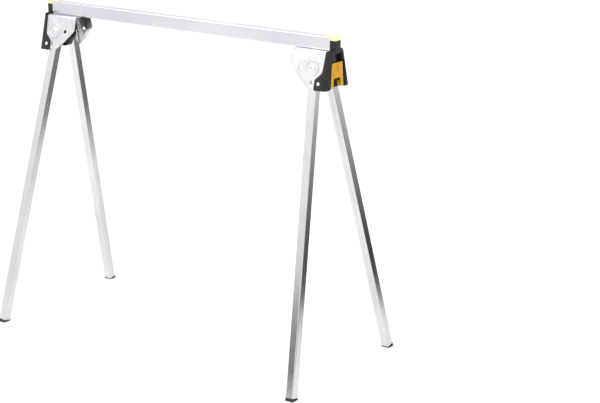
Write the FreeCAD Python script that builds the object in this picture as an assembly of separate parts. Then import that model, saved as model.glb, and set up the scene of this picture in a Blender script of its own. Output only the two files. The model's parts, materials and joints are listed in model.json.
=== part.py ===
import FreeCAD, Part
import math
import os

# Folding sawhorse, open and standing. Millimetres, +Z up, +X along the beam. The origin is on
# the floor under the middle of the beam.
#
# Each end carries two legs. Everything is drawn once, for the front leg of the right end, in
# the frame of the slanted plate that the leg turns behind: u outboard along the beam, v up
# the slope and n out through the plate, with its zero where the pivot axis meets the middle
# of the leg. The rear leg is its mirror image, and the left end is the right end turned half
# a turn about Z.

# Overall sizes
overall_length = 1054.0
beam_top_height = 971.0
splay_across = 14.0            # slant of the leg plane away from upright, degrees
splay_along = 4.53             # lean of the leg within its slanted plane, degrees

# Beam, a rectangular steel tube
beam_height = 38.1
beam_width = 25.4
beam_wall = 1.5
beam_corner = 3.0

# Legs, square steel tubes
leg_size = 25.4
leg_wall = 1.2
leg_corner = 3.0
leg_above_pivot = 27.0         # how far the tube runs on above the pivot axis
fold_offset = 1.8              # a folded leg lies this many degrees above or below level

# Pivots
pivot_from_end = 54.5          # from the end face of the sawhorse
pivot_below_beam = 49.4        # from the underside of the beam
pivot_from_centre = 28.66      # from the beam's middle plane to the middle of the leg
pivot_diameter = 10.0
pivot_head_diameter = 17.0
pivot_head_height = 4.2
pivot_head_rim = 1.0           # straight part under the dome
pivot_hollow_diameter = 5.6    # blind hole left in the head by the setting tool
pivot_hollow_depth = 5.0       # from the top of the dome
pivot_tail_diameter = 14.0
pivot_tail_height = 2.0
bush_wall = 1.5
running_fit = 0.06             # radial play of a turning shaft in its bush
washer_thickness = 0.8
washer_diameter = 22.0
washer_gap = 0.1               # between the washer and the leg

# Saddle bracket, one pressing under each end of the beam
sheet = 2.0
bend_radius = 2.2              # inside radius of its two bends
bracket_inboard = 75.5         # from the pivot to the inboard edge
bracket_outboard = 40.0        # from the pivot to the outboard edge
bracket_foot = 51.0            # from the pivot height down to the lower edge
bracket_shoulder = 9.5         # from the pivot height up to where the slanted edge starts
bracket_corner = 7.0
bracket_toe_corner = 3.0       # outboard lower corner
bracket_toe_inset = 3.0        # lower edge starts this far inside the leg's inboard face
bracket_bend_in = 40.0         # slanted edge's middle corner, from the inboard edge
bracket_bend_up = 20.0         # and from the lower edge
ring_radius = 20.0             # pressed ring around the pivot
ring_bead = 2.0
ring_height = 1.2

# Lock pins
lock_radius = 40.0             # from the pivot axis to the pin axis
lock_pin_diameter = 9.5
lock_hole_play = 0.75          # radial play of the pin in the bracket's holes
lock_neck_diameter = 5.0
lock_head_diameter = 10.5
lock_head_thickness = 2.0
lock_pin_reach = 11.0          # length of the thick tip
lock_tip_gap = 0.35            # gap between the tip and the plate with the latch at rest
lock_head_standoff = 7.2       # from the leg's inner face to the underside of the head
lock_dome_height = 1.6
lock_ramp = 0.75               # travel of a pin for each unit of latch travel
pin_guide_wall = 1.6
pin_guide_length = 6.0
spring_wire = 0.9
spring_turns = 5
pin_spring_play = 0.4          # between the neck and the spring

# End housing, one black moulding at each end
housing_wall = 3.0
housing_depth = 20.0           # length along the beam where the ear starts to widen
housing_top_depth = 16.0       # length along the beam at its top, so that the inboard edge slants
housing_foot = 54.0            # from the pivot height down to its lower edge
housing_deck = 2.6             # thickness above the bracket's web
ear_reach = 41.0               # from the end face to the ear's inboard edge
ear_top = 26.0                 # from the pivot height down to where the ear has its full reach
ear_shoulder = 6.0             # from the pivot height down to where the ear starts to widen
housing_corner = 10.0          # chamfer between its end face and its flanks
housing_shoulder_corner = 5.0  # corners of its outline seen from the side
housing_back_corner = 2.0
housing_foot_corner = 2.5
ear_shoulder_corner = 8.0
ear_corner = 7.0
ear_foot_corner = 3.0
cap_corner = 2.0
plug_corner = 1.0
stop_margin = 1.0              # from the stop rib to the lower edge and to the plate
stop_inset = 3.0               # from the leg's inner face to the rib's inner end
cap_length = 19.0              # the part that closes the beam's end
cap_margin = 0.5               # how far it stands proud of the tube
plug_length = 26.0             # the tongue inside the tube
plug_play = 0.25
stop_play = 0.35               # gap between a leg and its stop rib
sheet_play = 0.3               # gap beyond the end of the bracket's sheet

# Latch, one yellow moulding at each end
latch_foot_width = 70.0        # it narrows upwards
latch_top_width = 58.0
latch_top = 17.0               # from the pivot height up to its top edge
latch_thickness = 5.2
latch_edge = 4.2               # chamfer along the sides of its front
latch_setback = 2.5            # from the end face back to its front
latch_play = 0.5
latch_up = 5.0                 # travel from rest to fully pulled
latch_down = 4.0               # travel from rest to fully locked
finger_width = 37.0
finger_height = 25.5
finger_corner = 6.0
finger_foot_corner = 1.5
latch_corner = 4.0
latch_foot_corner = 2.0
latch_foot_gap = 2.9           # from the housing's lower edge up to the latch's
lip_reach = 2.2                # how far the lip over the arch stands forward
lip_root_low = 1.0             # heights of the lip's profile above the arch
lip_nose_low = 4.0
lip_nose_high = 11.0
lip_root_high = 17.0
lip_corner = 2.0
thumb_width = 14.0
thumb_height = 22.0
thumb_below_top = 14.0         # from the latch's top edge to the hollow's middle
thumb_corner = 5.0
thumb_depth = 1.6
shelf_width = 10.0
shelf_below_top = 9.0
shelf_thickness = 3.0
neck_gap = 0.6                 # from a pin's neck to the end of the ramp
arm_height = 15.0
arm_thickness = 4.2
ramp_length = 8.0
ramp_edge = 0.8                # thickness of the ramp's thin edge
arm_gap = 2.0                  # from a leg's inner face to the arm at rest
brow_width = 40.0
brow_top = 43.0                # from the pivot height up to the top of the recess
pocket_depth = 15.5            # from the end face back to the pocket's floor
pocket_floor = 2.5
pocket_ledge = 1.0             # beyond the latch's highest place
pocket_corner = 4.0
brow_root_corner = 3.0
brow_corner = 5.0
latch_spring_diameter = 4.2
latch_spring_wire = 0.6
latch_spring_turns = 9

# Guide block between the legs
block_play = 4.0               # from a leg's inner face to the block
block_inboard = 44.0           # from the pivot to its inboard edge
block_foot = 46.0              # from the pivot height down to its lower edge
block_top = 34.0               # from the pivot height up to the top of its wedge
block_rib = 2.2                # half thickness of the rib that reaches the bracket's web
block_crest_corner = 4.0
block_corner = 6.0
block_step = 8.0               # inboard edge ends this far below the pivot
block_toe = 12.0               # lower edge starts this far inboard of the pivot
block_rib_inboard = 16.0       # from the pivot to the rib's inboard edge
block_rib_overlap = 8.0        # how deep the rib is rooted in the wedge
head_play = 1.2                # room around a pin's head on its way round the pivot

# Top pads and feet
pad_height = 9.0
pad_length = 40.0
pad_tongue = 1.4
pad_tongue_inset = 2.2
pad_tongue_overlap = 2.0       # how far the tongue runs into the end block
pad_tongue_corner = 3.0
pad_edge = 2.5
pad_upright_edge = 1.9
foot_height = 6.0              # from the floor to the end of the tube, along the leg
foot_margin = 0.5
foot_plug_length = 18.0
foot_plug_wall = 2.0

# Fasteners
web_rivet_diameter = 5.0
web_rivet_head = 9.5
web_rivet_head_height = 2.2
web_rivet_tail = 8.0
web_rivet_tail_height = 2.5
web_rivet_places = (26.5, 64.5)    # inboard of the pivot
ear_rivet_diameter = 4.8
ear_rivet_head = 10.0
ear_rivet_head_height = 1.8
ear_rivet_from_end = 28.0
ear_rivet_drop = 41.5              # below the pivot

# Worked out from the sizes above
half_length = overall_length / 2
pivot_from_middle = half_length - pivot_from_end
beam_bottom = beam_top_height - beam_height
pivot_height = beam_bottom - pivot_below_beam
slant = math.radians(splay_across)
leg_half = leg_size / 2
plate_inner = leg_half + washer_thickness
plate_outer = plate_inner + sheet
housing_outer = plate_outer + housing_wall
web_bottom = beam_bottom - sheet
pin_radius = lock_pin_diameter / 2
pin_tip = plate_inner - lock_tip_gap
pin_shoulder = pin_tip - lock_pin_reach
head_face = -leg_half - lock_head_standoff
head_back = head_face - lock_head_thickness
lock_hole_radius = pin_radius + lock_hole_play
end_pin_travel_in = latch_up * lock_ramp
tube_end = half_length - cap_length
latch_front = half_length - latch_setback
latch_back = latch_front - latch_thickness
pocket_back = half_length - pocket_depth
tiny = 0.05                    # lets two solids that are fused or compared meet
exact = 1e-6                   # closer than this counts as equal
past = 1.0                     # how far a cutter runs beyond what it cuts


def vec(x, y, z):
    return FreeCAD.Vector(x, y, z)


origin = vec(0, 0, 0)
flank_frame = FreeCAD.Placement(
    vec(pivot_from_middle, -pivot_from_centre, pivot_height),
    FreeCAD.Rotation(vec(1, 0, 0), 90 - splay_across))
leg_frame = flank_frame.multiply(
    FreeCAD.Placement(origin, FreeCAD.Rotation(vec(0, 0, 1), splay_along)))


def placed(shape, frame):
    """The shape moved from a local frame into the world."""
    return shape.transformed(frame.toMatrix())


def mirrored(shape):
    """The same piece on the other side of the beam."""
    return shape.mirror(origin, vec(0, 1, 0))


def both_sides(shape):
    return [shape, mirrored(shape)]


def to_left_end(shape):
    return shape.rotated(origin, vec(0, 0, 1), 180)


def box(x0, x1, y0, y1, z0, z1):
    return Part.makeBox(x1 - x0, y1 - y0, z1 - z0, vec(x0, y0, z0))


def rounded_face(points, radius):
    """A flat face in XY whose corners are rounded. A point may carry its own radius."""
    corners = [(vec(p[0], p[1], 0), p[2] if len(p) > 2 else radius) for p in points]
    count = len(corners)
    joins = []
    for index, (corner, rounding) in enumerate(corners):
        before = (corners[index - 1][0] - corner).normalize()
        after = (corners[(index + 1) % count][0] - corner).normalize()
        half_angle = before.getAngle(after) / 2
        if rounding < tiny or abs(half_angle - math.pi / 2) < exact:
            joins.append((corner, None, corner))
            continue
        reach = rounding / math.tan(half_angle)
        middle = (before + after).normalize()
        centre = corner + middle * (rounding / math.sin(half_angle))
        joins.append((corner + before * reach, centre - middle * rounding, corner + after * reach))
    edges = []
    for index, (start, middle, end) in enumerate(joins):
        if middle is not None:
            edges.append(Part.Arc(start, middle, end).toShape())
        following = joins[(index + 1) % count][0]
        if end.distanceToPoint(following) > exact:
            edges.append(Part.LineSegment(end, following).toShape())
    return Part.Face(Part.Wire(edges))


def prism(points, radius, low, high):
    """The rounded outline, given in XY, between two heights."""
    face = rounded_face(points, radius)
    face.translate(vec(0, 0, low))
    return face.extrude(vec(0, 0, high - low))


def prism_across(points, radius, low, high):
    """An outline given in X and Z, drawn along Y."""
    solid = prism(points, radius, -high, -low)
    return solid.rotated(origin, vec(1, 0, 0), 90)


def prism_along(points, radius, low, high):
    """An outline given in Y and Z, drawn along X."""
    solid = prism(points, radius, low, high)
    return solid.rotated(origin, vec(1, 1, 1), 120)


def rectangle(width, height, inset=0.0, middle=(0.0, 0.0)):
    half_w = width / 2 - inset
    half_h = height / 2 - inset
    x, y = middle
    return [(x - half_w, y - half_h), (x + half_w, y - half_h),
            (x + half_w, y + half_h), (x - half_w, y + half_h)]


def disc(radius, low, high, at=(0.0, 0.0)):
    """A cylinder along the local n axis."""
    return Part.makeCylinder(radius, high - low, vec(at[0], at[1], low))


def tube(outer, inner, low, high, at=(0.0, 0.0)):
    return disc(outer, low, high, at).cut(disc(inner, low, high, at))


def dome(radius, height, low, at=(0.0, 0.0)):
    """A domed head standing on the plane n = low."""
    sphere_radius = (radius ** 2 + height ** 2) / (2 * height)
    ball = Part.makeSphere(sphere_radius, vec(at[0], at[1], low + height - sphere_radius))
    return ball.common(disc(radius + tiny, low, low + height + tiny, at))


def coil(radius, wire, low, high, turns, at=(0.0, 0.0)):
    """A compression spring along the local n axis."""
    free = high - low - wire
    path = Part.makeHelix(free / turns, free, radius)
    ring = Part.Wire(Part.makeCircle(wire / 2, vec(radius, 0, 0), vec(0, 1, 0)))
    solid = Part.Wire(path).makePipeShell([ring], True, True)
    solid.translate(vec(at[0], at[1], low + wire / 2))
    return solid


def group(shapes):
    return Part.makeCompound(shapes)


# ---------------------------------------------------------------- slanted walls

def slant_half_width(n, height):
    """Half width across the two slanted planes that lie n out from the legs' middles."""
    return pivot_from_centre + n / math.cos(slant) + (pivot_height - height) * math.tan(slant)


def slanted_body(n, low, high, x_low, x_high, radius=0.0):
    """A solid between the two slanted planes n out, like a roof with its top cut off."""
    outline = [(-slant_half_width(n, low), low), (slant_half_width(n, low), low),
               (slant_half_width(n, high), high), (-slant_half_width(n, high), high)]
    return prism_along(outline, radius, x_low, x_high)


def lock_point(angle_from_leg):
    """Where the pin axis meets the plate, with the leg turned inboard by this angle."""
    angle = math.radians(splay_along - angle_from_leg)
    return (lock_radius * math.sin(angle), -lock_radius * math.cos(angle))


def fold_angle(lies_high):
    level = 90.0 + splay_along
    return level + fold_offset if lies_high else level - fold_offset


# ---------------------------------------------------------------- beam and brackets

def beam_section(margin, wall=0.0):
    """The beam's outline in Y and Z, grown by a margin or shrunk by the wall."""
    middle = (0.0, beam_top_height - beam_height / 2)
    return rectangle(beam_width, beam_height, wall - margin, middle)


def make_beam():
    outside = prism_along(beam_section(0.0), beam_corner, -tube_end, tube_end)
    inside = prism_along(beam_section(0.0, beam_wall), beam_corner - beam_wall,
                         -tube_end - past, tube_end + past)
    beam = outside.cut(inside)
    for place in web_rivet_places:
        drill = disc(web_rivet_diameter / 2, web_bottom - past, beam_bottom + beam_wall + past,
                     (pivot_from_middle - place, 0))
        beam = beam.cut(drill).cut(to_left_end(drill))
    return beam


def bracket_outline():
    inboard = pivot_from_middle - bracket_inboard
    outboard = pivot_from_middle + bracket_outboard
    foot = pivot_height - bracket_foot
    top = beam_bottom + past
    toe = pivot_from_middle - leg_half + bracket_toe_inset
    bend_x = inboard + bracket_bend_in
    bend_z = foot + bracket_bend_up
    return [(inboard, top, 0), (inboard, pivot_height + bracket_shoulder), (bend_x, bend_z),
            (toe, foot), (outboard, foot, bracket_toe_corner), (outboard, top, 0)]


def bent_sheet(foot, x_low, x_high):
    """The sheet of the bracket, before its plates are cut to their outline."""
    def roof(n, low, top, radius, x0, x1):
        wide = slant_half_width(n, low)
        narrow = slant_half_width(n, top)
        return prism_along([(-wide, low, 0), (wide, low, 0), (narrow, top), (-narrow, top)],
                           radius, x0, x1)

    outer = roof(plate_outer, foot, beam_bottom, bend_radius + sheet, x_low, x_high)
    inner = roof(plate_inner, foot - past, web_bottom, bend_radius, x_low - past, x_high + past)
    return outer.cut(inner)


def make_bracket():
    """Web under the beam and two slanted plates, pressed from one sheet."""
    foot = pivot_height - bracket_foot
    reach = slant_half_width(plate_outer, foot) + past
    bracket = bent_sheet(foot, pivot_from_middle - bracket_inboard,
                         pivot_from_middle + bracket_outboard)
    bracket = bracket.common(prism_across(bracket_outline(), bracket_corner, -reach, reach))
    for side, lies_high in ((0, False), (1, True)):
        bead = Part.makeTorus(ring_radius, ring_bead,
                              vec(0, 0, plate_outer + ring_height - ring_bead))
        bead = bead.common(disc(ring_radius + ring_bead, plate_inner + sheet / 2,
                                plate_outer + ring_bead))
        groove = Part.makeTorus(ring_radius, ring_bead / 2, vec(0, 0, plate_inner))
        holes = [disc(pivot_diameter / 2, plate_inner - past, plate_outer + past),
                 disc(lock_hole_radius, plate_inner - past, plate_outer + past, lock_point(0.0)),
                 disc(lock_hole_radius, plate_inner - past, plate_outer + past,
                      lock_point(fold_angle(lies_high))),
                 ear_rivet_hole()]
        add = placed(bead, flank_frame)
        cuts = [placed(shape, flank_frame) for shape in holes + [groove]]
        if side:
            add = mirrored(add)
            cuts = [mirrored(shape) for shape in cuts]
        bracket = bracket.fuse(add)
        for shape in cuts:
            bracket = bracket.cut(shape)
    for place in web_rivet_places:
        bracket = bracket.cut(disc(web_rivet_diameter / 2, web_bottom - past, beam_bottom + past,
                                   (pivot_from_middle - place, 0)))
    return bracket.removeSplitter()


def make_web_rivets():
    """Blind rivets through the web and the beam's lower wall, one end."""
    rivets = []
    for place in web_rivet_places:
        at = (pivot_from_middle - place, 0)
        shank = disc(web_rivet_diameter / 2, web_bottom, beam_bottom + beam_wall, at)
        tail = disc(web_rivet_tail / 2, beam_bottom + beam_wall,
                    beam_bottom + beam_wall + web_rivet_tail_height, at)
        head = dome(web_rivet_head / 2, web_rivet_head_height, 0.0)
        head.rotate(origin, vec(1, 0, 0), 180)
        head.translate(vec(at[0], at[1], web_bottom))
        rivets.append(shank.fuse(tail).fuse(head))
    return rivets


# ---------------------------------------------------------------- pivots

def make_pivot_rivet():
    """Domed rivet that the leg turns on, from the plate to the leg's inner face."""
    inner_end = -leg_half - washer_thickness
    shank = disc(pivot_diameter / 2, inner_end, plate_outer)
    head = disc(pivot_head_diameter / 2, plate_outer, plate_outer + pivot_head_rim)
    crown = dome(pivot_head_diameter / 2, pivot_head_height - pivot_head_rim,
                 plate_outer + pivot_head_rim)
    tail = disc(pivot_tail_diameter / 2, inner_end - pivot_tail_height, inner_end)
    crest = plate_outer + pivot_head_height
    hollow = disc(pivot_hollow_diameter / 2, crest - pivot_hollow_depth, crest + past)
    rivet = shank.fuse(head).fuse(crown).fuse(tail).cut(hollow)
    return placed(rivet, flank_frame)


def make_pivot_washer():
    """Nylon washer between the plate and the leg, clear of both by a hair."""
    washer = tube(washer_diameter / 2, pivot_diameter / 2 + running_fit,
                  leg_half + washer_gap, plate_inner)
    return placed(washer, flank_frame)


def make_pivot_bush():
    """Steel sleeve across the leg tube that the rivet's shank turns in."""
    bore = pivot_diameter / 2 + running_fit
    return placed(tube(bore + bush_wall, bore, -leg_half, leg_half), leg_frame)


# ---------------------------------------------------------------- legs

def leg_length():
    """From the pivot to the floor along the middle of the leg."""
    return pivot_height / math.cos(slant) / math.cos(math.radians(splay_along))


def leg_blank(size, low, high, corner):
    """A square bar along the leg between two distances above the pivot."""
    outline = [(x, n) for x, n in rectangle(size, size)]
    bar = prism(outline, corner, -high, -low)
    return bar.rotated(origin, vec(1, 0, 0), 90)


def make_leg_tube():
    low = foot_height - leg_length()
    outside = leg_blank(leg_size, low, leg_above_pivot, leg_corner)
    inside = leg_blank(leg_size - 2 * leg_wall, low - past, leg_above_pivot + past,
                       leg_corner - leg_wall)
    leg = outside.cut(inside)
    bush_radius = pivot_diameter / 2 + running_fit + bush_wall
    leg = leg.cut(disc(bush_radius, -leg_half - past, leg_half + past))
    pin_at = (0.0, -lock_radius)
    leg = leg.cut(disc(pin_radius + running_fit, 0, leg_half + past, pin_at))
    leg = leg.cut(disc(lock_neck_diameter / 2 + running_fit, -leg_half - past, 0, pin_at))
    return placed(leg, leg_frame)


def make_foot():
    """Plastic foot pressed into the tube, cut flat where it stands on the floor."""
    tube_low = foot_height - leg_length()
    drop = leg_size * (math.tan(slant) + math.tan(math.radians(splay_along)))
    sole = leg_blank(leg_size + 2 * foot_margin, tube_low - foot_height - drop, tube_low,
                     leg_corner)
    plug_size = leg_size - 2 * leg_wall - 2 * plug_play
    plug = leg_blank(plug_size, tube_low, tube_low + foot_plug_length, leg_corner - leg_wall)
    hollow = leg_blank(plug_size - 2 * foot_plug_wall, tube_low + foot_plug_wall,
                       tube_low + foot_plug_length + past, 0)
    foot = placed(sole.fuse(plug).cut(hollow), leg_frame)
    reach = half_length * 2
    return foot.common(box(-reach, reach, -reach, reach, 0, pivot_height))


def make_lock_pin():
    """Round pin across the leg: thick domed tip, thin neck and a head for the latch's ramp."""
    tip = disc(pin_radius, pin_shoulder, pin_tip - lock_dome_height)
    crown = dome(pin_radius, lock_dome_height, pin_tip - lock_dome_height)
    neck = disc(lock_neck_diameter / 2, head_back, pin_shoulder)
    head = disc(lock_head_diameter / 2, head_back, head_face)
    pin = tip.fuse(crown).fuse(neck).fuse(head)
    pin.translate(vec(0, -lock_radius, 0))
    return placed(pin, leg_frame)


def make_pin_guide():
    """Plastic sleeve behind the leg's outer wall that the tip slides in."""
    bore = pin_radius + running_fit
    high = leg_half - leg_wall
    guide = tube(bore + pin_guide_wall, bore, high - pin_guide_length, high)
    guide.translate(vec(0, -lock_radius, 0))
    return placed(guide, leg_frame)


def make_pin_spring():
    """Spring between the leg's inner wall and the shoulder of the pin."""
    radius = lock_neck_diameter / 2 + spring_wire / 2 + pin_spring_play
    spring = coil(radius, spring_wire, -leg_half + leg_wall, pin_shoulder, spring_turns,
                  (0.0, -lock_radius))
    return placed(spring, leg_frame)


# ---------------------------------------------------------------- end housing

def housing_outline():
    end = half_length
    inboard = end - housing_depth
    ear = end - ear_reach
    foot = pivot_height - housing_foot
    top = beam_bottom + housing_deck
    return [(end, top, housing_shoulder_corner), (end - housing_top_depth, top, housing_back_corner),
            (inboard, pivot_height - ear_shoulder, ear_shoulder_corner),
            (ear, pivot_height - ear_top, ear_corner), (ear, foot, ear_foot_corner),
            (end, foot, housing_foot_corner)]


def latch_half_width(height):
    """Half width of the latch at a height, on its tapered sides."""
    foot = pivot_height - housing_foot + latch_foot_gap
    share = (height - foot) / (pivot_height + latch_top - foot)
    return (latch_foot_width + (latch_top_width - latch_foot_width) * share) / 2


def pocket_outline():
    """Recess in the end face for the latch and its travel, with the brow above it."""
    foot = pivot_height - housing_foot - past
    ledge = pivot_height + latch_top + latch_up + latch_play + pocket_ledge
    low_half = latch_half_width(foot - latch_up) + latch_play
    high_half = latch_half_width(ledge - latch_up) + latch_play
    brow = brow_width / 2
    top = pivot_height + brow_top
    return [(-low_half, foot, 0), (low_half, foot, 0), (high_half, ledge, pocket_corner),
            (brow, ledge, brow_root_corner), (brow, top, brow_corner), (-brow, top, brow_corner),
            (-brow, ledge, brow_root_corner), (-high_half, ledge, pocket_corner)]


def arm_section(play=0.0):
    """Lowest and highest v and outer and inner n of a latch arm, grown by a play."""
    low = -lock_radius - arm_height / 2 - play
    high = -lock_radius + arm_height / 2 + play
    outer = -leg_half - arm_gap + play
    inner = -leg_half - arm_gap - arm_thickness - play
    return low, high, outer, inner


def arm_travel_space(play, x_low, x_high):
    """The space that the front arm sweeps as the latch slides up and down."""
    low, high, outer, inner = arm_section(play)

    def corner(v, n, lift):
        y = -pivot_from_centre + v * math.sin(slant) - n * math.cos(slant)
        return (y, pivot_height + v * math.cos(slant) + n * math.sin(slant) + lift)

    down = -latch_down - play
    up = latch_up + play
    outline = [corner(low, outer, down), corner(low, inner, down), corner(high, inner, down),
               corner(high, inner, up), corner(high, outer, up), corner(low, outer, up)]
    return prism_along(outline, 0.0, x_low, x_high)


def make_stop_rib():
    """Block beside the leg that stops it from leaning further outboard."""
    end_u = half_length - pivot_from_middle - pocket_depth
    high = -ear_top
    low = -housing_foot + stop_margin
    lean = math.tan(math.radians(splay_along))
    side = (leg_half + stop_play) / math.cos(math.radians(splay_along))
    return prism([(side - high * lean, high), (side - low * lean, low), (end_u, low),
                  (end_u, high)], 0.0, -leg_half + stop_inset, plate_inner - stop_margin)


def make_housing():
    foot = pivot_height - housing_foot
    top = beam_bottom + housing_deck
    end = half_length
    ear = end - ear_reach
    reach = slant_half_width(housing_outer, foot) + past
    shell = slanted_body(housing_outer, foot, top, ear - past, end)
    slanted_edges = [edge for edge in shell.Edges
                     if abs(edge.CenterOfMass.x - end) < tiny
                     and foot + tiny < edge.CenterOfMass.z < top - tiny]
    shell = shell.makeChamfer(housing_corner, slanted_edges)
    shell = shell.common(prism_across(housing_outline(), 0.0, -reach, reach))

    # room for the bracket's sheet, and for the legs as far as the floor of the latch's pocket
    room_end = pocket_back - pocket_floor
    sheet_end = pivot_from_middle + bracket_outboard + sheet_play
    leg_room = slanted_body(plate_inner, foot - past, web_bottom, ear - past, room_end)
    shell = shell.cut(bent_sheet(foot - past, ear - past, sheet_end)).cut(leg_room)

    # pocket for the latch
    shell = shell.cut(prism_along(pocket_outline(), 0.0, pocket_back, end + past))

    # cap over the beam's end and the tongue inside it
    cap_top = beam_top_height - pad_height
    cap_half = beam_width / 2 + cap_margin
    cap = prism_along([(-cap_half, beam_bottom), (cap_half, beam_bottom),
                       (cap_half, cap_top), (-cap_half, cap_top)], 0.0, tube_end, end)
    upright = [edge for edge in cap.Edges
               if abs(edge.CenterOfMass.x - end) < tiny and abs(edge.CenterOfMass.y) > cap_half - tiny]
    cap = cap.makeFillet(cap_corner, upright)
    plug_inset = beam_wall + plug_play
    tongue = prism_along(beam_section(0.0, plug_inset), plug_corner,
                         tube_end - plug_length, tube_end + past)
    hollow = prism_along(beam_section(0.0, plug_inset + housing_wall), plug_corner,
                         tube_end - plug_length - past, tube_end + cap_length - housing_wall)
    shell = shell.fuse(cap).fuse(tongue.common(box(0, end, -reach, reach, 0, beam_top_height)))
    shell = shell.cut(hollow.common(box(0, end, -reach, reach, 0, cap_top - housing_wall)))
    shell = shell.cut(box(tube_end, end + past, -reach, reach, cap_top, beam_top_height + past))

    shell = shell.cut(prism_along(beam_section(0.0), beam_corner, 0, tube_end)
                      .cut(prism_along(beam_section(0.0, beam_wall), beam_corner - beam_wall,
                                       -past, tube_end + past)))

    # stops for the legs, arm slots and rivet holes, on both sides
    slot = arm_travel_space(latch_play, room_end - past, pocket_back + past)
    rib = placed(make_stop_rib(), flank_frame).common(
        box(0, room_end + tiny, -reach, reach, foot, top))
    for rib_side, slot_side, hole_side in zip(both_sides(rib), both_sides(slot),
                                              both_sides(placed(ear_rivet_hole(), flank_frame))):
        shell = shell.fuse(rib_side).cut(slot_side).cut(hole_side)
    return shell.removeSplitter()


def ear_rivet_at():
    return (half_length - pivot_from_middle - ear_rivet_from_end, -ear_rivet_drop)


def ear_rivet_hole():
    return disc(ear_rivet_diameter / 2, plate_inner - past, housing_outer + past, ear_rivet_at())


def make_ear_rivet():
    """Rivet that holds the housing's ear on the bracket's plate."""
    at = ear_rivet_at()
    shank = disc(ear_rivet_diameter / 2, plate_inner, housing_outer, at)
    head = dome(ear_rivet_head / 2, ear_rivet_head_height, housing_outer, at)
    return placed(shank.fuse(head), flank_frame)


# ---------------------------------------------------------------- latch

def latch_outline():
    foot = pivot_height - housing_foot + latch_foot_gap
    top = pivot_height + latch_top
    low_half = latch_half_width(foot)
    high_half = latch_half_width(top)
    finger = finger_width / 2
    arch = foot + finger_height
    return [(-low_half, foot, latch_foot_corner), (-finger, foot, finger_foot_corner),
            (-finger, arch, finger_corner), (finger, arch, finger_corner),
            (finger, foot, finger_foot_corner), (low_half, foot, latch_foot_corner),
            (high_half, top, latch_corner), (-high_half, top, latch_corner)]


def latch_side_wedge(low, high):
    """What the chamfer takes off one tapered side of the latch's front."""
    side = latch_half_width(low)
    corners = [(latch_front + past, side - latch_edge - past), (latch_front + past, side + past),
               (latch_front - latch_edge - past, side + past)]
    points = [vec(x, y, low) for x, y in corners]
    face = Part.Face(Part.makePolygon(points + points[:1]))
    return face.extrude(vec(0, latch_half_width(high) - side, high - low))


def make_latch():
    """Yellow slide: a face plate with a finger arch, a shelf for its spring and two arms."""
    foot = pivot_height - housing_foot + latch_foot_gap
    top = pivot_height + latch_top
    face = prism_along(latch_outline(), 0.0, latch_back, latch_front)
    for wedge in both_sides(latch_side_wedge(foot - past, top + past)):
        face = face.cut(wedge)
    arch = foot + finger_height
    root_x = latch_front - past
    nose_x = latch_front + lip_reach
    lip = prism_across([(root_x, arch + lip_root_low, 0), (nose_x, arch + lip_nose_low),
                        (nose_x, arch + lip_nose_high), (root_x, arch + lip_root_high, 0)],
                       lip_corner, -finger_width / 2, finger_width / 2)
    thumb = prism_along(rectangle(thumb_width, thumb_height, 0.0, (0.0, top - thumb_below_top)),
                        thumb_corner, latch_front - thumb_depth, latch_front + past)
    shelf_top = top - shelf_below_top
    shelf = box(pocket_back + latch_play, latch_back, -shelf_width / 2, shelf_width / 2,
                shelf_top - shelf_thickness, shelf_top)
    latch = face.fuse(lip).cut(thumb).fuse(shelf)
    low, high, outer, inner = arm_section()
    pin_u = lock_point(0.0)[0]
    ramp_end = pin_u + lock_neck_diameter / 2 + neck_gap
    arm_end = latch_back + tiny - pivot_from_middle
    plain = prism([(ramp_end + ramp_length, low), (arm_end, low), (arm_end, high),
                   (ramp_end + ramp_length, high)],
                  0.0, inner, outer)
    plain = placed(plain, flank_frame)
    for side in both_sides(plain.fuse(make_ramp(ramp_end, low, high, outer))):
        latch = latch.fuse(side)
    return latch.removeSplitter()


def make_ramp(ramp_end, low, high, outer):
    """Wedge under a pin's head: thicker downwards, so it draws the pin in as it rises."""
    touch_v = lock_point(0.0)[1] - lock_head_diameter / 2
    touch_n = head_face + lock_tip_gap
    slope = (lock_ramp + math.sin(slant)) / math.cos(slant)
    edge_n = outer - ramp_edge
    edge_v = touch_v + (edge_n - touch_n) / slope
    root_n = touch_n - slope * (touch_v - low)
    outline = [(low, outer), (low, root_n), (edge_v, edge_n), (high, edge_n), (high, outer)]
    points = [vec(0, v, n) for v, n in outline]
    face = Part.Face(Part.makePolygon(points + points[:1]))
    wedge = face.extrude(vec(ramp_length + past, 0, 0))
    wedge.translate(vec(ramp_end, 0, 0))
    return placed(wedge, flank_frame)


def make_latch_spring():
    """Spring behind the latch, between its shelf and the top of the pocket."""
    top = pivot_height + latch_top
    middle_x = (pocket_back + latch_back) / 2
    return coil(latch_spring_diameter / 2 - latch_spring_wire / 2, latch_spring_wire,
                top - shelf_below_top, pivot_height + brow_top, latch_spring_turns, (middle_x, 0.0))


# ---------------------------------------------------------------- guide block, pads

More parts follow.
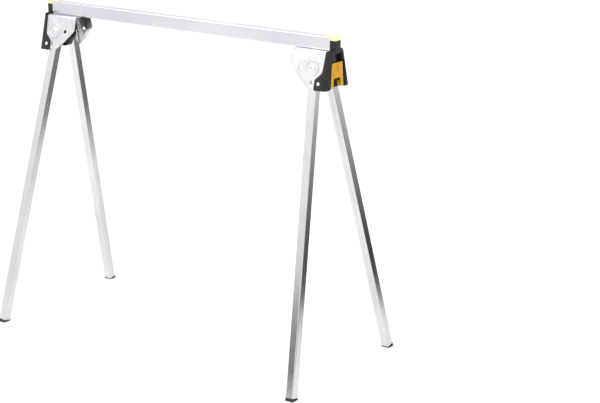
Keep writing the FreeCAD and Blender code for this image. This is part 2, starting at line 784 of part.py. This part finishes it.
def make_guide_block():
    """Wedge between the two legs, cut away where the pins' heads travel."""
    room_end = pocket_back - pocket_floor
    inboard = pivot_from_middle - block_inboard
    low = pivot_height - block_foot
    high = pivot_height + block_top
    side = -leg_half - block_play
    outline = [(inboard, high, block_crest_corner),
               (inboard, pivot_height - block_step, block_corner),
               (pivot_from_middle - block_toe, low, block_corner),
               (room_end, low, 0), (room_end, high, 0)]
    block = slanted_body(side, low, high, inboard - past, room_end)
    block = block.common(prism_across(outline, 0.0, -leg_size, leg_size))
    swept_in = lock_radius - lock_head_diameter / 2 - head_play
    swept_out = lock_radius + lock_head_diameter / 2 + head_play
    depth = head_back - end_pin_travel_in - head_play
    path = tube(swept_out, swept_in, depth, side + block_play)
    quarter = prism([(-swept_out, -swept_out), (lock_head_diameter, -swept_out),
                     (lock_head_diameter, lock_head_diameter), (-swept_out, lock_head_diameter)],
                    0.0, depth - past, side + block_play + past)
    arm_room = arm_travel_space(head_play, pivot_from_middle, room_end + past)
    for cut in both_sides(placed(path.common(quarter), flank_frame)) + both_sides(arm_room):
        block = block.cut(cut)
    rib = box(pivot_from_middle - block_rib_inboard, room_end, -block_rib, block_rib,
              high - block_rib_overlap, web_bottom)
    return block.fuse(rib).removeSplitter()


def make_top_pad():
    """Yellow cap on the beam's end, with a thin tongue along the top of the tube."""
    half = beam_width / 2 + cap_margin
    top = beam_top_height + pad_tongue
    low = beam_top_height - pad_height
    end_block = prism_along([(-half, low, 0), (half, low, 0), (half, top), (-half, top)],
                            pad_edge, tube_end, half_length)
    upright = [edge for edge in end_block.Edges
               if abs(edge.CenterOfMass.x - half_length) < tiny
               and abs(edge.CenterOfMass.y) > half - tiny]
    end_block = end_block.makeFillet(pad_upright_edge, upright)
    tongue_low = half_length - pad_length
    tongue_high = tube_end + pad_tongue_overlap
    tongue = prism(rectangle(tongue_high - tongue_low, beam_width - 2 * pad_tongue_inset, 0.0,
                             ((tongue_low + tongue_high) / 2, 0.0)),
                   pad_tongue_corner, beam_top_height, top)
    return end_block.fuse(tongue).removeSplitter()


# ---------------------------------------------------------------- all nodes

def build_nodes():
    nodes = {"beam_tube": make_beam()}
    ends = {"bracket": make_bracket(), "end_housing": make_housing(), "latch": make_latch(),
            "latch_spring": make_latch_spring(), "guide_block": make_guide_block(),
            "top_pad": make_top_pad()}
    for name, shape in ends.items():
        nodes["right_" + name] = shape
        nodes["left_" + name] = to_left_end(shape)
    fasteners = {"web_rivets": make_web_rivets(), "pivot_rivets": both_sides(make_pivot_rivet()),
                 "pivot_washers": both_sides(make_pivot_washer()),
                 "ear_rivets": both_sides(make_ear_rivet())}
    for name, shapes in fasteners.items():
        nodes[name] = group(shapes + [to_left_end(shape) for shape in shapes])
    leg_pieces = {"leg_tube": make_leg_tube(), "foot": make_foot(), "pivot_bush": make_pivot_bush(),
                  "lock_pin": make_lock_pin(), "pin_guide": make_pin_guide(),
                  "pin_spring": make_pin_spring()}
    for name, shape in leg_pieces.items():
        nodes["front_right_" + name] = shape
        nodes["rear_right_" + name] = mirrored(shape)
        nodes["rear_left_" + name] = to_left_end(shape)
        nodes["front_left_" + name] = to_left_end(mirrored(shape))
    return nodes


os.makedirs("parts", exist_ok=True)
for node, solid in build_nodes().items():
    solid.exportStep(os.path.join("parts", node + ".step"))
    print(node, len(solid.Solids), "solid(s)", round(solid.Volume / 1000, 2), "cm3")
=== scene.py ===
import json
import math

import bmesh
import bpy
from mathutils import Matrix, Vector


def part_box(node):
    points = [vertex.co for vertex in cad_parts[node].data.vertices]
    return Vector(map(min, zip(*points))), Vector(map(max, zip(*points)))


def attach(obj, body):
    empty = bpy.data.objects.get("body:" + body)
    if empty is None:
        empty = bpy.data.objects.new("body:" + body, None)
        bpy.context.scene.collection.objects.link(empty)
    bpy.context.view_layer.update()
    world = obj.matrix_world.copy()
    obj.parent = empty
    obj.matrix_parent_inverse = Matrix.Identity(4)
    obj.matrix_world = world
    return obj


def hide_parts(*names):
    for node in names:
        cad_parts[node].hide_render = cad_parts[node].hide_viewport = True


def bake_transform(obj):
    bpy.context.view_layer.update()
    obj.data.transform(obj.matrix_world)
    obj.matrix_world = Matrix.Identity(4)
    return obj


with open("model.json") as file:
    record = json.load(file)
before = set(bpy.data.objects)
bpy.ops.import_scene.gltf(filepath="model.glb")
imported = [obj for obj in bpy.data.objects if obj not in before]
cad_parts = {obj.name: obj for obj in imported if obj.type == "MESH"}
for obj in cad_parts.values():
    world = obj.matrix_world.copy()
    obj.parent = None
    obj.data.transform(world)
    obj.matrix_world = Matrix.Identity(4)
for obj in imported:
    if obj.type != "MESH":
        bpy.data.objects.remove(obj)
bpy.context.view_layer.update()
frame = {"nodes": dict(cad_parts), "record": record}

# A folding sawhorse: materials, rounded edges, weld seams, latch grips, springs, camera, studio.
# Metres, in the frame of the CAD model: +X along the beam, +Z up, origin on the floor.

MM = 0.001

# Camera
CAMERA_PLACE = (3.029, -3.7793, 1.8504)
CAMERA_PITCH = 16.52          # degrees below the horizon
CAMERA_YAW = 34.82            # degrees from +Y towards -X
CAMERA_LENS = 101.67          # millimetres, as the sensor width is
SENSOR_WIDTH = 36.0

# Stage
FLOOR_HALF = 30.0
FLOOR_COLOUR = (0.93, 0.93, 0.935)
FLOOR_ROUGHNESS = 0.75
SKY_COLOUR = (1.0, 1.0, 1.0)
SKY_STRENGTH = 1.12

# Square lamps: name, place, side length, power in watts. Both aim at the same point.
LAMPS = (("key_light", (-1.6, -2.6, 3.2), 2.4, 60.0),
         ("fill_light", (2.8, -1.2, 2.6), 2.0, 18.0))
LAMP_AIM = (0.0, 0.0, 0.5)

# Boards that the camera and matt surfaces don't see, as a studio uses to shade bright metal:
# middle of the foot, direction it faces in degrees from +X, width, height, glow at its top
TALL_FLAG = ((0.906, 0.708), 38.0, 4.4, 1.1, 1.85)
LOW_FLAG = ((-0.12, -1.25), 56.0, 0.5, 0.38, 0.16)
FLAG_FALL = 2.0               # how steeply the glow falls towards the floor

# The slant of the leg planes from upright, and the lean of a leg along the beam
SPLAY_ACROSS = math.radians(14.0)
SPLAY_ALONG = math.radians(4.53)

# The sign of each end's X, and of each leg's X and Y
ENDS = {"right": 1, "left": -1}
LEGS = {"front_right": (1, -1), "rear_right": (1, 1), "rear_left": (-1, 1), "front_left": (-1, -1)}


def leg_outward(leg):
    """The direction that a leg's outer face looks in, square to the plane that the leg folds in."""
    side = LEGS[leg][1]
    return Vector((0.0, side * math.cos(SPLAY_ACROSS), math.sin(SPLAY_ACROSS)))


def node_middle(node):
    """The middle of a CAD node's box."""
    low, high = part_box(node)
    return (low + high) / 2


# ---------------------------------------------------------------- shader helpers

EDGE_SAMPLES = 6               # rays that look for an edge when its wear is worked out
SOFT_EDGE_SAMPLES = 4          # the same, when an edge is only rounded
CREVICE_SAMPLES = 8


class Shader:
    """A principled material and its texture nodes. Texture scales are in cells a metre."""

    def __init__(self, name, colour, roughness, metallic=0.0, turn=None):
        self.material = bpy.data.materials.new(name)
        self.material.use_nodes = True
        self.nodes = self.material.node_tree.nodes
        self.links = self.material.node_tree.links
        self.surface = self.nodes["Principled BSDF"]
        self.surface.inputs["Base Color"].default_value = (*colour, 1.0)
        self.surface.inputs["Roughness"].default_value = roughness
        self.surface.inputs["Metallic"].default_value = metallic
        place = self.nodes.new("ShaderNodeTexCoord").outputs["Object"]
        if turn is not None:
            mapping = self.nodes.new("ShaderNodeMapping")
            mapping.inputs["Rotation"].default_value = turn.to_euler()
            self.links.new(place, mapping.inputs["Vector"])
            place = mapping.outputs["Vector"]
        self.place = place
        self.normal = None

    def noise(self, scale, detail=3.0, stretch=(1.0, 1.0, 1.0)):
        mapping = self.nodes.new("ShaderNodeMapping")
        mapping.inputs["Scale"].default_value = stretch
        self.links.new(self.place, mapping.inputs["Vector"])
        texture = self.nodes.new("ShaderNodeTexNoise")
        texture.inputs["Scale"].default_value = scale
        texture.inputs["Detail"].default_value = detail
        self.links.new(mapping.outputs["Vector"], texture.inputs["Vector"])
        return texture.outputs["Fac"]

    def crystals(self, scale):
        """Cells with a shade each, like the crystals in a coat of zinc."""
        texture = self.nodes.new("ShaderNodeTexVoronoi")
        texture.inputs["Scale"].default_value = scale
        self.links.new(self.place, texture.inputs["Vector"])
        grey = self.nodes.new("ShaderNodeRGBToBW")
        self.links.new(texture.outputs["Color"], grey.inputs["Color"])
        return grey.outputs["Val"]

    def edges(self, radius):
        """Up to 1 close to a sharp edge, where a rounded normal leaves the true one. 0 elsewhere."""
        geometry = self.nodes.new("ShaderNodeNewGeometry")
        rounded = self.nodes.new("ShaderNodeBevel")
        rounded.samples = EDGE_SAMPLES
        rounded.inputs["Radius"].default_value = radius
        compare = self.nodes.new("ShaderNodeVectorMath")
        compare.operation = "DOT_PRODUCT"
        self.links.new(geometry.outputs["Normal"], compare.inputs[0])
        self.links.new(rounded.outputs["Normal"], compare.inputs[1])
        return self.share(compare.outputs["Value"], 0.99, 0.85)

    def crevice_shade(self, reach):
        """Painted shade: 0 deep in a step or corner of the same piece, where shade falls, 1 in the
        open.
        """
        shelter = self.nodes.new("ShaderNodeAmbientOcclusion")
        shelter.samples = CREVICE_SAMPLES
        shelter.only_local = True
        shelter.inputs["Distance"].default_value = reach
        return self.share(shelter.outputs["AO"], 0.55, 0.97)

    def share(self, value, none, full):
        """0 where the value is at none, 1 where it is at full."""
        return self.remap(value, none, full, 0.0, 1.0)

    def remap(self, value, from_low, from_high, to_low, to_high):
        node = self.nodes.new("ShaderNodeMapRange")
        for name, number in (("From Min", from_low), ("From Max", from_high),
                             ("To Min", to_low), ("To Max", to_high)):
            node.inputs[name].default_value = number
        self.links.new(value, node.inputs["Value"])
        return node.outputs["Result"]

    def combine(self, operation, first, second):
        node = self.nodes.new("ShaderNodeMath")
        node.operation = operation
        self.links.new(first, node.inputs[0])
        self.links.new(second, node.inputs[1])
        return node.outputs["Value"]

    def mix(self, share, first, second):
        """The first colour where the share is 0, the second where it is 1. Each may be a mix."""
        node = self.nodes.new("ShaderNodeMix")
        node.data_type = "RGBA"
        self.links.new(share, node.inputs["Factor"])
        for socket, value in (("A", first), ("B", second)):
            target = [s for s in node.inputs if s.name == socket and s.type == "RGBA"][0]
            if isinstance(value, tuple):
                target.default_value = (*value, 1.0)
            else:
                self.links.new(value, target)
        return [s for s in node.outputs if s.type == "RGBA"][0]

    def colour(self, socket):
        self.links.new(socket, self.surface.inputs["Base Color"])

    def roughness(self, socket):
        self.links.new(socket, self.surface.inputs["Roughness"])

    def bump(self, height, distance, strength):
        """Adds a bump, over any that is there already. The distance is in metres."""
        node = self.nodes.new("ShaderNodeBump")
        node.inputs["Strength"].default_value = strength
        node.inputs["Distance"].default_value = distance
        self.links.new(height, node.inputs["Height"])
        if self.normal is not None:
            self.links.new(self.normal, node.inputs["Normal"])
        self.normal = node.outputs["Normal"]
        self.links.new(self.normal, self.surface.inputs["Normal"])

    def soft_edges(self, radius):
        """Rounds the look of sharp edges. Comes before any bump."""
        node = self.nodes.new("ShaderNodeBevel")
        node.samples = SOFT_EDGE_SAMPLES
        node.inputs["Radius"].default_value = radius
        self.normal = node.outputs["Normal"]
        self.links.new(self.normal, self.surface.inputs["Normal"])


# ---------------------------------------------------------------- materials

# Tube: colour, and colour in its darker clouds
BEAM_STEEL = ((0.69, 0.69, 0.73), (0.60, 0.60, 0.65))
LEG_STEEL = ((0.72, 0.72, 0.72), (0.59, 0.60, 0.61))

# Plate: base colour, the lighter and darker plating over it, and the shade painted dark into its steps
# and corners
PLATE_BASE = (0.66, 0.66, 0.67)
PLATE_LIGHT = (0.7, 0.7, 0.71)
PLATE_DARK = (0.56, 0.57, 0.59)
PLATE_PAINTED_SHADE = (0.16, 0.16, 0.17)
STEEL_ROUGHNESS = 0.3
SOFT_EDGE = 0.5 * MM           # radius that plate and plastic seem to have at their edges
# how far from a step or corner the painted shade reaches
PAINTED_SHADE_REACH = 3.5 * MM

# Moulded plastic: colour, colour where rubbed, roughness, height of the grain, specular level
BLACK_HOUSING = ((0.013, 0.0135, 0.0145), (0.06, 0.06, 0.062), 0.5, 0.03 * MM, 0.3)
YELLOW_MOULDING = ((0.6, 0.31, 0.01), (0.8, 0.52, 0.1), 0.42, 0.02 * MM, 0.25)
FOOT_RUBBER = ((0.03, 0.03, 0.032), (0.1, 0.1, 0.1), 0.6, 0.08 * MM, 0.3)
PAD_YELLOW = ((0.86, 0.78, 0.42), (0.92, 0.87, 0.6), 0.4, 0.03 * MM, 0.4)

# Small metal: colour, roughness, marks a metre
ZINC_RIVET = ((0.86, 0.86, 0.87), 0.25, 250.0)
SPRING_WIRE = ((0.55, 0.55, 0.57), 0.3, 900.0)

NYLON_COLOUR = (0.84, 0.82, 0.76)
NYLON_DARK = (0.78, 0.76, 0.7)
NYLON_LIGHT = (0.87, 0.85, 0.8)
NYLON_ROUGHNESS = 0.45
NYLON_GLOW = 0.1               # weight of the light that spreads under its surface


def shaded(colour, share):
    return tuple(channel * share for channel in colour)


def tube_steel(name, light, dark, turn, along):
    """Galvanised tube: soft clouds and crystals of zinc, drawing lines along it, slight waves."""
    def drawn(length):
        return tuple(length if axis == along else 1.0 for axis in range(3))

    steel = Shader(name, light, STEEL_ROUGHNESS, metallic=1.0, turn=turn)
    clouds = steel.noise(scale=9.0, detail=4.0, stretch=drawn(0.45))
    lines = steel.noise(scale=260.0, detail=2.0, stretch=drawn(0.03))
    crystals = steel.crystals(scale=120.0)
    waves = steel.noise(scale=22.0, detail=1.0)
    steel.colour(steel.mix(steel.share(clouds, 0.35, 0.68), dark, light))
    cloudy = steel.remap(clouds, 0.3, 0.7, 0.30, 0.22)
    speckled = steel.remap(crystals, 0.0, 1.0, -0.01, 0.02)
    steel.roughness(steel.combine("ADD", cloudy, speckled))
    steel.bump(lines, distance=0.008 * MM, strength=0.16)
    steel.bump(waves, distance=0.1 * MM, strength=0.08)
    return steel.material


def plate_steel():
    """Zinc-plated pressing: scuffs, cloudy plating, and shade painted dark into its steps and corners.
    """
    steel = Shader("bracket_plate", PLATE_BASE, STEEL_ROUGHNESS, metallic=1.0)
    steel.soft_edges(SOFT_EDGE)
    clouds = steel.noise(scale=28.0, detail=4.0)
    scuffs = steel.noise(scale=420.0, stretch=(1.0, 1.0, 0.12))
    plating = steel.mix(steel.share(clouds, 0.3, 0.7), PLATE_DARK, PLATE_LIGHT)
    # Painted shade: the plating is darkened toward the shade colour in its steps and corners
    steel.colour(steel.mix(steel.crevice_shade(PAINTED_SHADE_REACH), PLATE_PAINTED_SHADE, plating))
    steel.roughness(steel.remap(scuffs, 0.25, 0.75, 0.22, 0.38))
    steel.bump(scuffs, distance=0.012 * MM, strength=0.25)
    return steel.material


def moulded(name, colour, worn, roughness, grain, shine):
    """Moulded plastic: fine spark texture, slow colour drift, edges rubbed lighter in places."""
    plastic = Shader(name, colour, roughness)
    plastic.surface.inputs["Specular IOR Level"].default_value = shine
    patches = plastic.remap(plastic.noise(scale=220.0), 0.42, 0.62, 0.05, 0.5)
    rubbed = plastic.combine("MULTIPLY", plastic.edges(SOFT_EDGE), patches)
    plastic.soft_edges(SOFT_EDGE)
    drift = plastic.share(plastic.noise(scale=14.0, detail=2.0), 0.3, 0.7)
    base = plastic.mix(drift, shaded(colour, 0.93), colour)
    plastic.colour(plastic.mix(rubbed, base, worn))
    sheen = plastic.noise(scale=700.0, detail=2.0)
    plastic.roughness(plastic.remap(sheen, 0.3, 0.7, roughness - 0.03, roughness + 0.03))
    plastic.bump(plastic.noise(scale=1900.0, detail=2.0), distance=grain, strength=0.35)
    return plastic.material


def small_metal(name, colour, roughness, scale):
    """Rivets, pins, bushes and wire: turned or drawn metal with fine marks."""
    metal = Shader(name, colour, roughness, metallic=1.0)
    marks = metal.noise(scale)
    metal.colour(metal.mix(metal.share(marks, 0.3, 0.7), shaded(colour, 0.8), colour))
    metal.roughness(metal.remap(marks, 0.3, 0.7, roughness - 0.05, roughness + 0.1))
    metal.bump(metal.noise(scale * 3), distance=0.02 * MM, strength=0.5)
    return metal.material


def nylon():
    """Washers and pin guides: natural nylon, slightly mottled."""
    plastic = Shader("natural_nylon", NYLON_COLOUR, NYLON_ROUGHNESS)
    plastic.surface.inputs["Subsurface Weight"].default_value = NYLON_GLOW
    plastic.colour(plastic.mix(plastic.noise(scale=80.0), NYLON_DARK, NYLON_LIGHT))
    plastic.roughness(plastic.remap(plastic.noise(scale=200.0), 0.3, 0.7, 0.38, 0.52))
    plastic.bump(plastic.noise(scale=1500.0), distance=0.02 * MM, strength=0.4)
    return plastic.material


def leg_turn(end, side):
    """The turn that lays a leg's length on Z, so that its steel is drawn along the leg."""
    along = Vector((end * math.sin(SPLAY_ALONG), side * math.sin(SPLAY_ACROSS),
                    -math.cos(SPLAY_ACROSS))).normalized()
    return along.rotation_difference(Vector((0.0, 0.0, -1.0)))


def dress_nodes():
    """Gives every CAD node its slot's material. Each tube has its own steel, and the pads a yellow."""
    by_slot = {
        "galvanised_steel": plate_steel(),
        "black_plastic": moulded("black_housing", *BLACK_HOUSING),
        "yellow_plastic": moulded("yellow_moulding", *YELLOW_MOULDING),
        "foot_plastic": moulded("foot_rubber", *FOOT_RUBBER),
        "zinc_rivet": small_metal("zinc_rivet", *ZINC_RIVET),
        "spring_steel": small_metal("spring_wire", *SPRING_WIRE),
        "nylon": nylon(),
    }
    pad_yellow = moulded("pad_yellow", *PAD_YELLOW)
    own = {end + "_top_pad": pad_yellow for end in ENDS}
    own["beam_tube"] = tube_steel("beam_steel", *BEAM_STEEL, turn=None, along=0)
    for leg, (end, side) in LEGS.items():
        own[leg + "_leg_tube"] = tube_steel(leg + "_steel", *LEG_STEEL,
                                            turn=leg_turn(end, side), along=2)
    for row in frame["record"]["subparts"]:
        node = row["node"]
        material = own.get(node, by_slot[row["material_slot"]])
        for mesh_slot in frame["nodes"][node].material_slots:
            mesh_slot.link = "OBJECT"
            mesh_slot.material = material
    return by_slot


# ---------------------------------------------------------------- rounded edges

EDGE_RADIUS = {"end_housing": 0.6 * MM, "latch": 0.5 * MM, "top_pad": 0.4 * MM,
               "guide_block": 0.5 * MM, "bracket": 0.3 * MM, "foot": 0.4 * MM}
EDGE_ANGLE = math.radians(32.0)
EDGE_SEGMENTS = 2
WELD_DISTANCE = 0.002 * MM


def round_edges():
    """Gives moulded and pressed nodes a small guessed radius on their edges, which the CAD has not."""
    for kind, radius in EDGE_RADIUS.items():
        for name, node in frame["nodes"].items():
            if not name.endswith("_" + kind):
                continue
            weld = node.modifiers.new("weld", "WELD")
            weld.merge_threshold = WELD_DISTANCE
            bevel = node.modifiers.new("edges", "BEVEL")
            bevel.width = radius
            bevel.segments = EDGE_SEGMENTS
            bevel.limit_method = "ANGLE"
            bevel.angle_limit = EDGE_ANGLE
            bevel.use_clamp_overlap = True
            bevel.harden_normals = True


# ---------------------------------------------------------------- small pieces

def add_object(name, data):
    piece = bpy.data.objects.new(name, data)
    bpy.context.scene.collection.objects.link(piece)
    return piece


def smooth_piece(name, mesh, material):
    """Turns a bmesh, which it uses up, into a smooth piece of one material."""
    bmesh.ops.recalc_face_normals(mesh, faces=mesh.faces)
    data = bpy.data.meshes.new(name)
    mesh.to_mesh(data)
    mesh.free()
    data.materials.append(material)
    for polygon in data.polygons:
        polygon.use_smooth = True
    piece = add_object(name, data)
    return piece


def skin(mesh, rings):
    """Joins rings of vertices into a tube with closed ends."""
    for before, after in zip(rings, rings[1:]):
        for index in range(len(before)):
            following = (index + 1) % len(before)
            mesh.faces.new((before[index], before[following], after[following], after[index]))
    mesh.faces.new(rings[0][::-1])
    mesh.faces.new(rings[-1])


SEAM_WIDTH = 1.8 * MM
SEAM_HEIGHT = 0.35 * MM
SEAM_STEP = 12.0 * MM
SEAM_ARC = (0, 45, 90, 135, 180)   # degrees over the bead's crown
SEAM_WANDER = ((0.12 * MM, 1.7), (0.08 * MM, 4.1))   # sideways waves: reach, radians a step
SEAM_SWELL = 0.15              # share by which the bead's height comes and goes
SEAM_SWELL_PACE = 2.3          # radians a step
SEAM_GAP = 2.0 * MM            # from the beam's seam to the brackets
SEAM_ABOVE_FOOT = 30.0 * MM    # from the middle of the foot
SEAM_BELOW_PIVOT = 75.0 * MM
LEG_SIZE = 25.4 * MM


def weld_seam(name, start, finish, out, material, body):
    """The low, slightly wandering bead of a tube's weld, closed and sunk a little into the wall."""
    start, finish, out = Vector(start), Vector(finish), Vector(out).normalized()
    side = (finish - start).normalized().cross(out)
    steps = int((finish - start).length / SEAM_STEP)
    mesh = bmesh.new()
    rings = []
    for step in range(steps + 1):
        middle = start.lerp(finish, step / steps)
        wander = sum(reach * math.sin(step * pace) for reach, pace in SEAM_WANDER)
        height = SEAM_HEIGHT * (1.0 + SEAM_SWELL * math.sin(step * SEAM_SWELL_PACE))
        ring = [mesh.verts.new(middle + side * (wander + math.cos(angle) * SEAM_WIDTH / 2)
                               + out * math.sin(angle) * height)
                for angle in map(math.radians, SEAM_ARC)]
        ring.append(mesh.verts.new(middle + side * wander - out * SEAM_HEIGHT))
        rings.append(ring)
    skin(mesh, rings)
    piece = smooth_piece(name, mesh, material)
    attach(piece, body)


def node_material(node):
    return frame["nodes"][node].material_slots[0].material


def add_seams():
    """One seam under the beam and one along the inner face of each leg."""
    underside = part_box("beam_tube")[0].z
    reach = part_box("right_bracket")[0].x - SEAM_GAP
    weld_seam("beam_weld_seam", (-reach, 0, underside), (reach, 0, underside), (0, 0, -1),
              node_material("beam_tube"), "frame")
    for leg in LEGS:
        foot = node_middle(leg + "_foot")
        pivot = node_middle(leg + "_pivot_bush")
        outward = leg_outward(leg)
        to_face = outward * (LEG_SIZE / 2)
        along = (pivot - foot).normalized()
        along = (along - outward * along.dot(outward)).normalized()
        length = (pivot - foot).length
        low_end = pivot - along * (length - SEAM_ABOVE_FOOT) - to_face
        high_end = pivot - along * SEAM_BELOW_PIVOT - to_face
        weld_seam(leg + "_weld_seam", low_end, high_end, -outward,
                  node_material(leg + "_leg_tube"), leg + "_leg")


GRIP_RIBS = 5
GRIP_PITCH = 3.6 * MM
GRIP_WIDTH = 11.0 * MM
GRIP_END_SHARE = 0.82          # of that width, at the first and the last rib
GRIP_HEIGHT = 1.2 * MM
GRIP_REACH = 1.0 * MM          # out of the hollow's floor, and as far behind it
GRIP_BEVEL = 0.35 * MM
GRIP_BEVEL_SEGMENTS = 3
THUMB_BELOW_TOP = 14.0 * MM    # from the latch's top edge to the middle of its hollow
THUMB_FLOOR = 3.8 * MM         # from the foremost point of the lip back to the hollow's floor


def add_latch_grips(material):
    """Low ribs across the thumb hollow of each latch."""
    for end, sign in ENDS.items():
        low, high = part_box(end + "_latch")
        lip = high.x if sign > 0 else -low.x
        floor_x = lip - THUMB_FLOOR
        middle_z = high.z - THUMB_BELOW_TOP
        mesh = bmesh.new()
        for rib in range(GRIP_RIBS):
            z = middle_z + (rib - (GRIP_RIBS - 1) / 2) * GRIP_PITCH
            width = GRIP_WIDTH * (GRIP_END_SHARE if rib in (0, GRIP_RIBS - 1) else 1.0)
            made = bmesh.ops.create_cube(mesh, size=1.0)
            for vertex in made["verts"]:
                vertex.co = Vector((sign * (floor_x + vertex.co.x * 2 * GRIP_REACH),
                                    vertex.co.y * width, z + vertex.co.z * GRIP_HEIGHT))
        bmesh.ops.bevel(mesh, geom=list(mesh.edges), offset=GRIP_BEVEL,
                        segments=GRIP_BEVEL_SEGMENTS, profile=0.5, affect="EDGES")
        piece = smooth_piece(end + "_latch_grip", mesh, material)
        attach(piece, end + "_latch")


SPRING_SIDES = 10              # of the wire's section
SPRING_STEPS = 18              # along each turn
DEAD_COIL = 0.75               # turns that lie closed at each end
LATCH_SPRING_WIRE = 0.6 * MM
LATCH_SPRING_TURNS = 9
PIN_SPRING_WIRE = 0.9 * MM
PIN_SPRING_TURNS = 5


def coil(name, foot, top, radius, wire, turns, material):
    """A compression spring from foot to top, whose end coils lie closed. Its wire is cut off square."""
    foot, top = Vector(foot), Vector(top)
    axis = (top - foot).normalized()
    across = axis.orthogonal().normalized()
    beside = axis.cross(across)
    whole = turns + 2 * DEAD_COIL
    open_rise = (top - foot).length - wire - 2 * DEAD_COIL * wire
    steps = int(whole * SPRING_STEPS)
    mesh = bmesh.new()
    rings = []
    for step in range(steps + 1):
        turn = whole * step / steps
        opened = min(max(turn - DEAD_COIL, 0.0), turns)
        height = wire / 2 + (turn - opened) * wire + opened / turns * open_rise
        angle = 2 * math.pi * turn
        outward = across * math.cos(angle) + beside * math.sin(angle)
        middle = foot + axis * height + outward * radius
        rings.append([mesh.verts.new(middle + (outward * math.cos(share) + axis * math.sin(share))
                                     * wire / 2)
                      for share in (2 * math.pi * side / SPRING_SIDES
                                    for side in range(SPRING_SIDES))])
    skin(mesh, rings)
    return smooth_piece(name, mesh, material)


def add_springs(material):
    """Coils that stand in for the CAD springs, which it hides, between the two bodies they press apart.
    """
    for end in ENDS:
        node = end + "_latch_spring"
        low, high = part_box(node)
        middle = (low + high) / 2
        foot = (middle.x, middle.y, low.z)
        top = (middle.x, middle.y, high.z)
        spring = coil(end + "_latch_coil", foot, top, (high.x - low.x - LATCH_SPRING_WIRE) / 2,
                      LATCH_SPRING_WIRE, LATCH_SPRING_TURNS, material)
        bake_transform(spring)
        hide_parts(node)
    for leg in LEGS:
        node = leg + "_pin_spring"
        low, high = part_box(node)
        middle = (low + high) / 2
        width = high.x - low.x
        outward = leg_outward(leg)
        length = (high.y - low.y - width * math.sin(SPLAY_ACROSS)) / math.cos(SPLAY_ACROSS)
        foot = middle - outward * length / 2
        top = middle + outward * length / 2
        spring = coil(leg + "_pin_coil", foot, top, (width - PIN_SPRING_WIRE) / 2,
                      PIN_SPRING_WIRE, PIN_SPRING_TURNS, material)
        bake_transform(spring)
        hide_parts(node)


# ---------------------------------------------------------------- stage

def flat_board(name, corners):
    """A sheet with no thickness, from its four corners in order."""
    mesh = bpy.data.meshes.new(name)
    mesh.from_pydata(corners, [], [(0, 1, 2, 3)])
    return add_object(name, mesh)


def make_floor():
    half = FLOOR_HALF
    floor = flat_board("floor", [(-half, -half, 0), (half, -half, 0), (half, half, 0),
                                 (-half, half, 0)])
    paint = Shader("floor_paint", FLOOR_COLOUR, FLOOR_ROUGHNESS)
    paint.roughness(paint.remap(paint.noise(scale=3.0), 0.3, 0.7, 0.7, 0.8))
    floor.data.materials.append(paint.material)


def make_flag(name, foot, azimuth, width, height, glow_at_top):
    """An upright board that glows at its top and fades to nothing at the floor."""
    angle = math.radians(azimuth)
    across = Vector((-math.sin(angle), math.cos(angle), 0.0)) * (width / 2)
    base = Vector((*foot, 0.0))
    top = Vector((0.0, 0.0, height))
    flag = flat_board(name, [base - across, base + across, base + across + top,
                             base - across + top])
    material = bpy.data.materials.new(name + "_cloth")
    material.use_nodes = True
    nodes = material.node_tree.nodes
    links = material.node_tree.links
    nodes.clear()
    place = nodes.new("ShaderNodeTexCoord")
    split = nodes.new("ShaderNodeSeparateXYZ")
    share = nodes.new("ShaderNodeMapRange")
    fall = nodes.new("ShaderNodeMath")
    level = nodes.new("ShaderNodeMath")
    glow = nodes.new("ShaderNodeEmission")
    out = nodes.new("ShaderNodeOutputMaterial")
    share.inputs["From Max"].default_value = height
    fall.operation = "POWER"
    fall.inputs[1].default_value = FLAG_FALL
    level.operation = "MULTIPLY"
    level.inputs[1].default_value = glow_at_top
    links.new(place.outputs["Object"], split.inputs["Vector"])
    links.new(split.outputs["Z"], share.inputs["Value"])
    links.new(share.outputs["Result"], fall.inputs[0])
    links.new(fall.outputs["Value"], level.inputs[0])
    links.new(level.outputs["Value"], glow.inputs["Strength"])
    links.new(glow.outputs["Emission"], out.inputs["Surface"])
    flag.data.materials.append(material)
    flag.visible_camera = False
    flag.visible_diffuse = False
    flag.visible_shadow = False


def make_lights():
    world = bpy.data.worlds.new("studio")
    world.use_nodes = True
    background = world.node_tree.nodes["Background"]
    background.inputs["Color"].default_value = (*SKY_COLOUR, 1.0)
    background.inputs["Strength"].default_value = SKY_STRENGTH
    bpy.context.scene.world = world
    for name, place, size, power in LAMPS:
        light = bpy.data.lights.new(name, "AREA")
        light.size = size
        light.energy = power
        lamp = add_object(name, light)
        lamp.location = place
        aim = Vector(LAMP_AIM) - Vector(place)
        lamp.rotation_euler = aim.to_track_quat("-Z", "Y").to_euler()


def make_camera():
    data = bpy.data.cameras.new("camera")
    data.sensor_width = SENSOR_WIDTH
    data.lens = CAMERA_LENS
    camera = add_object("camera", data)
    camera.location = CAMERA_PLACE
    camera.rotation_euler = (math.radians(90.0 - CAMERA_PITCH), 0.0, math.radians(CAMERA_YAW))
    bpy.context.scene.camera = camera


bpy.context.scene.view_settings.view_transform = "Standard"
make_camera()
make_floor()
make_flag("tall_flag", *TALL_FLAG)
make_flag("low_flag", *LOW_FLAG)
make_lights()
slot_materials = dress_nodes()
round_edges()
add_seams()
add_latch_grips(slot_materials["yellow_plastic"])
add_springs(slot_materials["spring_steel"])
